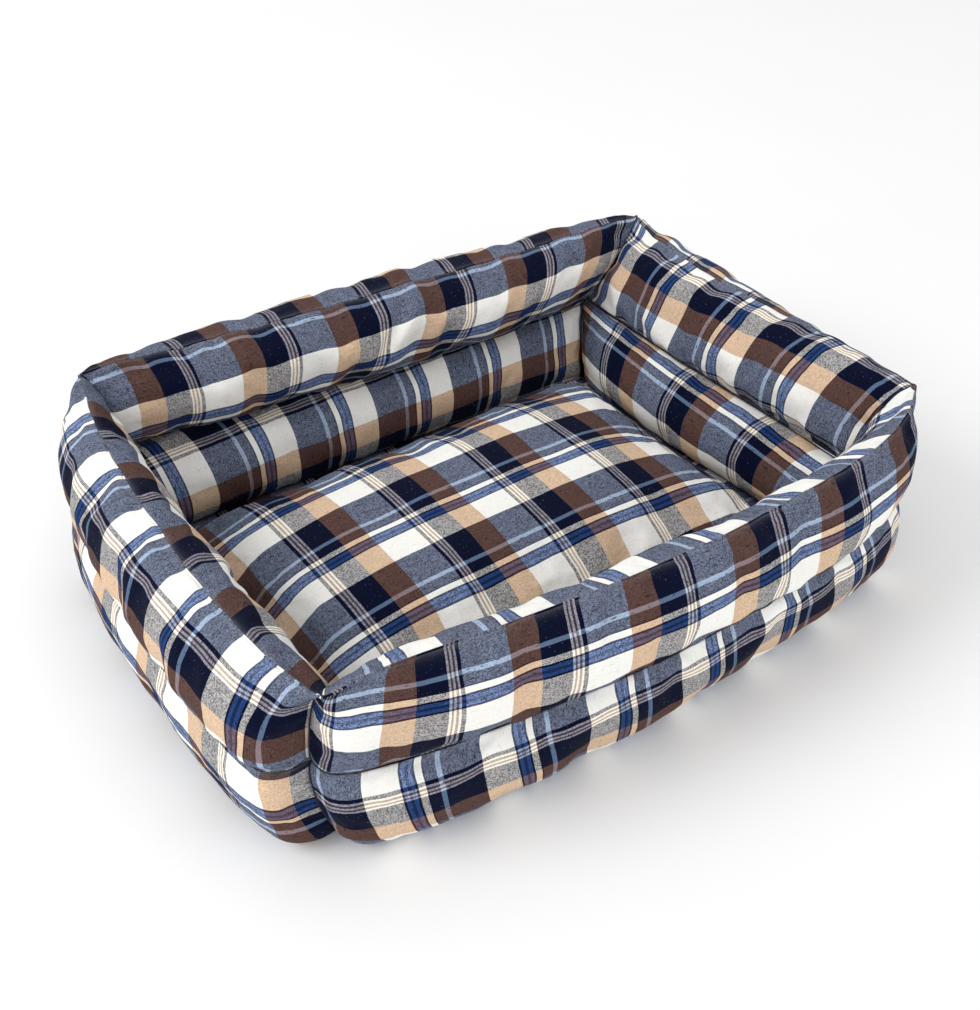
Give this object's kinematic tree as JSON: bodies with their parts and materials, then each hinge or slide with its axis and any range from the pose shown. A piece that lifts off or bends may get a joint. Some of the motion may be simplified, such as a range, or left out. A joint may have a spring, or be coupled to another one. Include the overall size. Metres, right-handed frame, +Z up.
{
  "type": "pet cushion bed",
  "caption": "Rectangular padded pet bed: puffed two-chamber walls around a floor that holds a loose pillow-shaped cushion, in plaid cotton.",
  "frame": {"origin": "middle of the flat underside that lies on the floor", "axes": "+Z up, +X along the long front wall to its right end, +Y from the front wall to the back wall"},
  "size_m": [0.622, 0.47, 0.1598],
  "materials": {
    "plaid_cotton": "matte",
    "seam_edge": "matte",
    "bottom_cloth": "matte",
    "fibre_filling": "matte"
  },
  "bodies": {
    "bed": {"front_outer_upper_panel": "plaid_cotton", "front_inner_upper_panel": "plaid_cotton", "front_outer_lower_panel": "plaid_cotton", "front_inner_lower_panel": "plaid_cotton", "back_outer_upper_panel": "plaid_cotton", "back_inner_upper_panel": "plaid_cotton", "back_outer_lower_panel": "plaid_cotton", "back_inner_lower_panel": "plaid_cotton", "left_outer_upper_panel": "plaid_cotton", "left_inner_upper_panel": "plaid_cotton", "left_outer_lower_panel": "plaid_cotton", "left_inner_lower_panel": "plaid_cotton", "right_outer_upper_panel": "plaid_cotton", "right_inner_upper_panel": "plaid_cotton", "right_outer_lower_panel": "plaid_cotton", "right_inner_lower_panel": "plaid_cotton", "front_upper_fill": "fibre_filling", "front_lower_fill": "fibre_filling", "back_upper_fill": "fibre_filling", "back_lower_fill": "fibre_filling", "left_upper_fill": "fibre_filling", "left_lower_fill": "fibre_filling", "right_upper_fill": "fibre_filling", "right_lower_fill": "fibre_filling", "front_crest_seam": "plaid_cotton", "back_crest_seam": "plaid_cotton", "left_crest_seam": "plaid_cotton", "right_crest_seam": "plaid_cotton", "front_channel_seam": "plaid_cotton", "back_channel_seam": "plaid_cotton", "left_channel_seam": "plaid_cotton", "right_channel_seam": "plaid_cotton", "front_left_corner_seam": "seam_edge", "front_right_corner_seam": "seam_edge", "back_left_corner_seam": "seam_edge", "back_right_corner_seam": "seam_edge", "floor_cloth": "plaid_cotton", "base_wadding": "fibre_filling", "bottom_cloth": "bottom_cloth", "bottom_edge_binding": "seam_edge"},
    "cushion": {"cushion_top_panel": "plaid_cotton", "cushion_bottom_panel": "plaid_cotton", "cushion_fill": "fibre_filling", "cushion_edge_seam": "seam_edge"}
  },
  "joints": [
    {"name": "cushion_lift", "type": "slide", "parent": "bed", "child": "cushion", "axis": [0, 0, 1], "range_m": [0, 0.16]}
  ]
}
